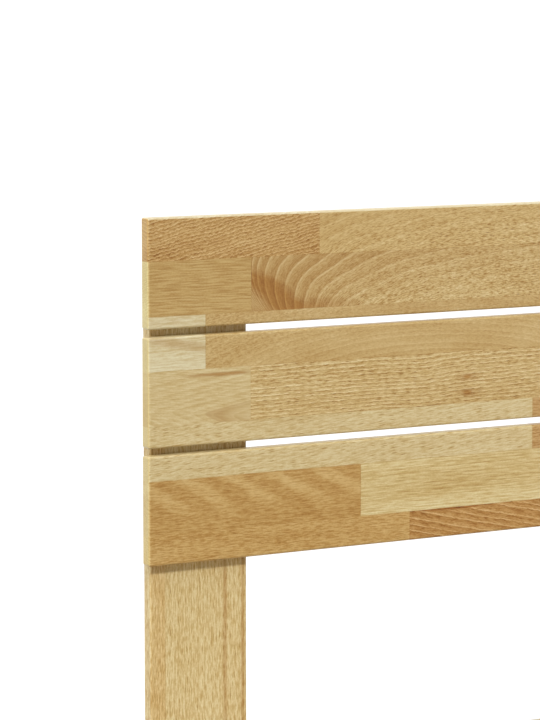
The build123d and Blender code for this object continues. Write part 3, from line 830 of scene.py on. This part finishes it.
def paintZinc(place, look):  # each paint gives colour, roughness and relief
    cloud = place.stretch(look["clouds"]).noise(3, 0.6)
    grain = place.stretch(look["grain"]).noise()
    dark = [t * look["dark"] for t in look["tone"]]
    bright = [t * b for t, b in zip(look["tone"], look["bright"])]
    colour = cloud.ramp(list(zip(look["stops"], (dark, look["tone"], bright))))
    return colour, look["roughness"] + (cloud - 0.5) * look["spread"], grain


spangleLook = {"crystals": 150, "clouds": 60, "shares": (0.7, 0.3), "roughness": 0.34, "spread": 0.18,
               "bump": (0.10, 0.0004), "surface": {"Metallic": 1},
               "stops": [(0, (0.42, 0.44, 0.46)), (0.5, (0.56, 0.58, 0.60)), (1, (0.68, 0.70, 0.71))]}


def paintSpangle(place, look):  # hot-dipped sheet: crystals of different brightness
    bright = place.cells(look["crystals"])[1].parts()[0]
    cloud = place.stretch(look["clouds"]).noise(3)
    brightShare, cloudShare = look["shares"]
    colour = (bright * brightShare + cloud * cloudShare).ramp(look["stops"])
    return colour, look["roughness"] + bright * look["spread"], bright


plasticLook = {"grain": 1500, "dust": (90, 40), "dustSteps": (0.45, 0.75), "shares": (0.7, 0.3),
               "roughness": 0.46, "dusty": 0.2, "bump": (0.25, 0.0002), "surface": {},
               "stops": [(0, (0.018, 0.018, 0.019)), (1, (0.050, 0.049, 0.047))]}


def paintPlastic(place, look):  # moulded grain with dust on it
    grain = place.stretch(look["grain"]).noise(2, 0.6)
    dust = place.stretch(*look["dust"]).noise(3).rise(*look["dustSteps"])
    dustShare, grainShare = look["shares"]
    colour = (dust * dustShare + grain * grainShare).ramp(look["stops"])
    return colour, look["roughness"] + dust * look["dusty"], grain


feltLook = {"twists": 260, "twist": 2.5, "fibres": (900, 2200), "roughness": 0.95,
            "bump": (0.5, 0.0006), "surface": {"Sheen Weight": 0.3},
            "stops": [(0.30, (0.10, 0.10, 0.105)), (0.50, (0.21, 0.21, 0.215)), (0.72, (0.36, 0.36, 0.36))]}


def paintFelt(place, look):
    twist = place.stretch(look["twists"]).noise(2, 0.5, "Color")
    twisted = place.make("ShaderNodeVectorMath", {"operation": "MULTIPLY_ADD"},
                         {0: twist, 1: (look["twist"],) * 3, 2: place.stretch(*look["fibres"])})
    fibres = twisted.noise(3, 0.7)
    return fibres.ramp(look["stops"]), look["roughness"], fibres


def makeFinish(name, paint, look):
    material, start = newMaterial(name)
    finishMaterial(start, look, *paint(start.place(), look))
    return material


zincSteel = makeFinish("zincSteel", paintZinc, steelLook)
zincAlloy = makeFinish("zincAlloy", paintZinc, alloyLook)
spangle = makeFinish("galvanisedSheet", paintSpangle, spangleLook)
plastic = makeFinish("blackPlastic", paintPlastic, plasticLook)
felt = makeFinish("greyFelt", paintFelt, feltLook)
print("metal, plastic and felt materials made")


def looseBoxes(node):  # lowest and highest corner of every loose part of a node
    body = mergedBody(node)
    left, boxes = set(body.verts), []
    while left:
        reached, places = [left.pop()], []
        while reached:
            vert = reached.pop()
            places.append(vert.co.copy())
            near = {e.other_vert(vert) for e in vert.link_edges} & left
            left -= near
            reached.extend(near)
        boxes.append([Vector([pick(p[i] for p in places) for i in range(3)]) for pick in (min, max)])
    body.free()
    return sorted(boxes, key=lambda b: [round(v, 4) for v in b[0]])


def headPlaces(node, axis, way):  # where each head sits, which way it faces, and how long the fastener is
    places, aims, length = [], [], 0
    for low, high in looseBoxes(node):
        middle = (low + high) / 2
        outward = math.copysign(1, middle.dot(axisOf[axis]))
        aim = axisOf[axis] * {"on": 1, "in": -outward, "out": outward}[way]
        length = abs((high - low).dot(aim))
        places.append(middle + aim * length / 2)
        aims.append(aim)
    return places, aims, length


def makeFastenerTree(name, sizes, profile, recess):
    tree, start, size = geometryTree(name, sizes)
    girth = turnedGirth(start, profile) * size["Head Radius"]
    head = sweep(start, (0, 0, 0), upright(start, 0 - size["Head Height"]), size["Head Rings"],
                 size["Sides"], girth)
    width, depth = size["Recess Width"], size["Recess Depth"] * 2
    cutters = []
    if recess == "hex":
        cutters.append(hexagon(start, width, depth))
    for turn in {"cross": (0, math.pi / 2), "slot": (0,)}.get(recess, ()):
        blade = start.form("MeshCube", {"Size": start.vector(width, size["Recess Blade"], depth)})
        cutters.append(moved(start, blade, (0, 0, 0), (0, 0, turn)))
    parts = [cutAway(start, head, cutters)]
    if sizes["Length"] > sizes["Head Height"]:
        deep = 0 - start.form("InputPosition").parts()[2]
        turns = (deep - size["Head Height"]) / size["Thread Pitch"]
        ridge = (turns.math("FRACT") - 0.5).math("ABSOLUTE") * 2
        tip = ((size["Length"] - deep) / size["Tip"] + size["Blunt"]).math("MINIMUM", 1)
        girth = size["Shank Radius"] * (1 - ridge * size["Thread Depth"]) * tip
        neck = upright(start, 0 - size["Head Height"] * size["Neck"])  # a little way inside the head
        point = upright(start, 0 - size["Length"])
        parts.append(sweep(start, neck, point, size["Rings"], size["Sides"], girth))
    fastener = start.form("JoinGeometry", {0: parts})
    turn = start.make("FunctionNodeAlignRotationToVector", {"axis": "Z"}, {"Vector": kept(start, "aim")})
    row = start.form("InstanceOnPoints", {"Points": size["Places"], "Instance": fastener, "Rotation": turn})
    closeTree(start, row, size["Material"])
    return tree


woodScrew = {
    "sizes": {"Head Radius": 0.0045, "Head Height": 0.00225, "Shank Radius": 0.00225,
              "Thread Pitch": 0.0021, "Thread Depth": 0.26, "Tip": 0.006, "Recess Width": 0.0048,
              "Recess Blade": 0.0013, "Recess Depth": 0.0017, "Neck": 0.96, "Blunt": 0.12,
              "Head Rings": 7, "Sides": 16, "Rings": 26, "Material": zincSteel},
    "profile": [(0, 0.965), (0.06, 1), (1, 0.5)],
    "recess": "cross",
    "slot": "zinc_steel",
}
panScrew = {
    **woodScrew,
    "sizes": {**woodScrew["sizes"], "Head Radius": 0.004, "Head Height": 0.0024, "Shank Radius": 0.002,
              "Recess Width": 0.0042, "Recess Blade": 0.0011, "Recess Depth": 0.0015},
    "profile": [(0, 0.5), (0.12, 0.70), (0.30, 0.86), (0.5, 0.95), (0.67, 1), (1, 1)],
}
railBolt = {
    **woodScrew,
    "sizes": {**woodScrew["sizes"], "Head Radius": 0.0075, "Head Height": 0.003, "Shank Radius": 0.003,
              "Thread Pitch": 0.0020, "Thread Depth": 0.16, "Tip": 0.002, "Recess Width": 0.004,
              "Recess Depth": 0.002, "Sides": 28, "Rings": 60},
    "profile": [(0, 0.93), (0.18, 1), (0.9, 1), (1, 0.97)],
    "recess": "hex",
}
barrelNut = {
    "sizes": {**woodScrew["sizes"], "Head Radius": 0.005, "Head Height": 0.016, "Recess Width": 0.012,
              "Recess Blade": 0.0016, "Recess Depth": 0.0018, "Sides": 24, "Material": zincAlloy},
    "profile": [(0, 0.92), (0.16, 1), (0.84, 1), (1, 0.92)],
    "recess": "slot",
    "slot": "zinc_alloy",
}
fastenerRows = {  # kind, axis, and whether heads face on along it, in to the middle or out
    "headboard_screws": (woodScrew, "y", "on"),
    "head_rail_screws": (woodScrew, "y", "on"),
    "foot_board_screws": (woodScrew, "y", "on"),
    "ledge_screws": (woodScrew, "x", "in"),
    "slat_screws": (woodScrew, "z", "on"),
    "shoe_screws": (panScrew, "y", "in"),
    "rail_bolts": (railBolt, "y", "out"),
    "rail_barrel_nuts": (barrelNut, "x", "in"),
}
for node, (kind, axis, way) in fastenerRows.items():
    name = pieceName(node)
    places, aims, length = headPlaces(node, axis, way)
    sizes, slot = {**kind["sizes"], "Length": length}, kind["slot"]
    tree = makeFastenerTree(name, sizes, kind["profile"], kind["recess"])
    row = growPiece(name, tree, sizes, places, aims)
    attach(row, "frame")
    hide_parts(node)
    print(name + ":", len(places), "of", round(length / mm, 1), "mm")

# levelling foot: hexagon collar and a rod with a rolled thread
studSizes = {"Rod Radius": 0.005, "Rod Length": 0.0615, "Thread From": 0.012, "Pitch": 0.0015,
             "Thread Height": 0.0006, "Hex Width": 0.014, "Hex Height": 0.005, "Hex From": 0.006,
             "Rings": 50, "Sides": 28, "Turn Steps": 24, "Tooth Sides": 6, "Material": zincSteel}
studProfile = [(0, 0.98), (0.02, 1), (0.98, 1), (1, 0.8)]


def makeStud(sizes, profile):
    tree, start, size = geometryTree("levellingStud", sizes)
    core = size["Rod Radius"] - size["Thread Height"]
    girth = core * turnedGirth(start, profile)
    top = upright(start, size["Rod Length"])
    rod = sweep(start, (0, 0, 0), top, size["Rings"], size["Sides"], girth)
    run = size["Rod Length"] - size["Thread From"] - size["Pitch"]
    spiral = start.form("CurveSpiral",
                        {"Resolution": size["Turn Steps"], "Rotations": run / size["Pitch"],
                         "Start Radius": core, "End Radius": core, "Height": run})
    tooth = start.form("CurvePrimitiveCircle",
                       {"Resolution": size["Tooth Sides"], "Radius": size["Thread Height"]})
    thread = moved(start, skin(start, spiral, tooth), upright(start, size["Thread From"]))
    collar = hexagon(start, size["Hex Width"], size["Hex Height"])
    collar = moved(start, collar, upright(start, size["Hex From"] + size["Hex Height"] * 0.5))
    whole = start.form("JoinGeometry", {0: [rod, thread, collar]})
    row = start.form("InstanceOnPoints", {"Points": size["Places"], "Instance": whole})
    closeTree(start, row, size["Material"])
    low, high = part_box("levelling_foot_stud")
    foot = Vector(((low.x + high.x) / 2, (low.y + high.y) / 2, low.z))
    return growPiece("levellingStud", tree, sizes, [foot])


stud = makeStud(studSizes, studProfile)
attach(stud, "levelling_foot")
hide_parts("levelling_foot_stud")
print("levelling stud threaded")

# solid nodes whose shape is right keep it and get their finish
nodeFinish = {"centre_beam_shoe_head": spangle, "centre_beam_shoe_foot": spangle,
              "centre_leg_hanger_bolt": zincSteel, "centre_leg_insert": zincAlloy,
              "levelling_foot_pad": plastic, "post_glides": felt}
for node, finish in nodeFinish.items():
    cadNodes[node].data.materials.clear()
    cadNodes[node].data.materials.append(finish)
print("shoes, hanger bolt, insert, pad and glides finished")

# stage: pale floor, soft light from the front and the left, white surroundings
stageLook = {
    "floorHalf": 400,
    "floorColour": (0.42, 0.42, 0.42),
    "floorLift": 0.66,  # what the floor adds for the camera, so that it reads as white
    "skyLow": 0.02,  # light of the sky at the horizon and overhead
    "skyHigh": 0.86,
    "skyFill": 0.55,  # low light from behind and the right
    "fillFrom": (0.6, 0.8),
    "fillHeight": 0.6,
    "key": {"strength": 1.64, "turn": 14, "height": 38, "spread": 8},
    "side": {"strength": 1.50, "turn": 84, "height": 34, "spread": 70},
}


def surroundingsRay(start):  # 1 where the camera, or a mirror or glass, looks past the object
    path = start.make("ShaderNodeLightPath", None, None, None)
    rays = {wire.socket.name: wire for wire in path}
    seen = rays["Is Camera Ray"].math("MAXIMUM", rays["Is Glossy Ray"])
    return seen.math("MAXIMUM", rays["Is Transmission Ray"])


def makeFloor(look):
    half = look["floorHalf"]
    mesh = bpy.data.meshes.new("floor")
    corners = [(-half, -half, 0), (half, -half, 0), (half, half, 0), (-half, half, 0)]
    mesh.from_pydata(corners, [], [(0, 1, 2, 3)])
    material, start = newMaterial("paleFloor")
    plain = start.make("ShaderNodeBsdfDiffuse", None, {"Color": (*look["floorColour"], 1)})
    lift = start.make("ShaderNodeEmission", None, {"Strength": surroundingsRay(start) * look["floorLift"]})
    closeMaterial(start, start.make("ShaderNodeAddShader", None, {0: plain, 1: lift}))
    mesh.materials.append(material)
    floor = newObject("floor", mesh)


def aimDown(item, dip, turn):  # degrees below the horizon, and to the right of straight ahead
    item.rotation_euler = (math.radians(90 - dip), 0, math.radians(-turn))


def makeSun(name, look):  # shines from this many degrees to the left
    data = bpy.data.lights.new(name, "SUN")
    data.energy = look["strength"]
    data.angle = math.radians(look["spread"])
    aimDown(newObject(name, data), look["height"], look["turn"])


def makeSky(look):
    world = bpy.data.worlds.new("studio")
    scene.world = world
    world.use_nodes = True
    world.node_tree.nodes.clear()
    sky = Wire(world.node_tree)
    white = surroundingsRay(sky)
    rightward, backward, upward = sky.make("ShaderNodeTexCoord", None, None, "Generated").parts()
    fill = (rightward * look["fillFrom"][0] + backward * look["fillFrom"][1]).rise(0, 1)
    fill = fill * (1 - upward.rise(0, look["fillHeight"])) * look["skyFill"]
    soft = look["skyLow"] + upward.rise(0, 1) * (look["skyHigh"] - look["skyLow"]) + fill
    glow = sky.make("ShaderNodeBackground", None,
                    {"Color": (1, 1, 1, 1), "Strength": soft + white * (1 - soft)})
    sky.make("ShaderNodeOutputWorld", None, {"Surface": glow}, None)


makeFloor(stageLook)
makeSun("keyLight", stageLook["key"])
makeSun("sideLight", stageLook["side"])
makeSky(stageLook)

cameraLook = {"place": (-2.5350, -2.3993, 1.2807), "turn": 29.95, "dip": 6.787, "lens": 155.21,
              "sensor": 36}
cameraData = bpy.data.cameras.new("camera")
cameraData.lens = cameraLook["lens"]
cameraData.sensor_width = cameraLook["sensor"]
camera = newObject("camera", cameraData)
camera.location = cameraLook["place"]
aimDown(camera, cameraLook["dip"], cameraLook["turn"])
scene.camera = camera
scene.view_settings.view_transform = "Standard"
print("stage, lights and camera set")
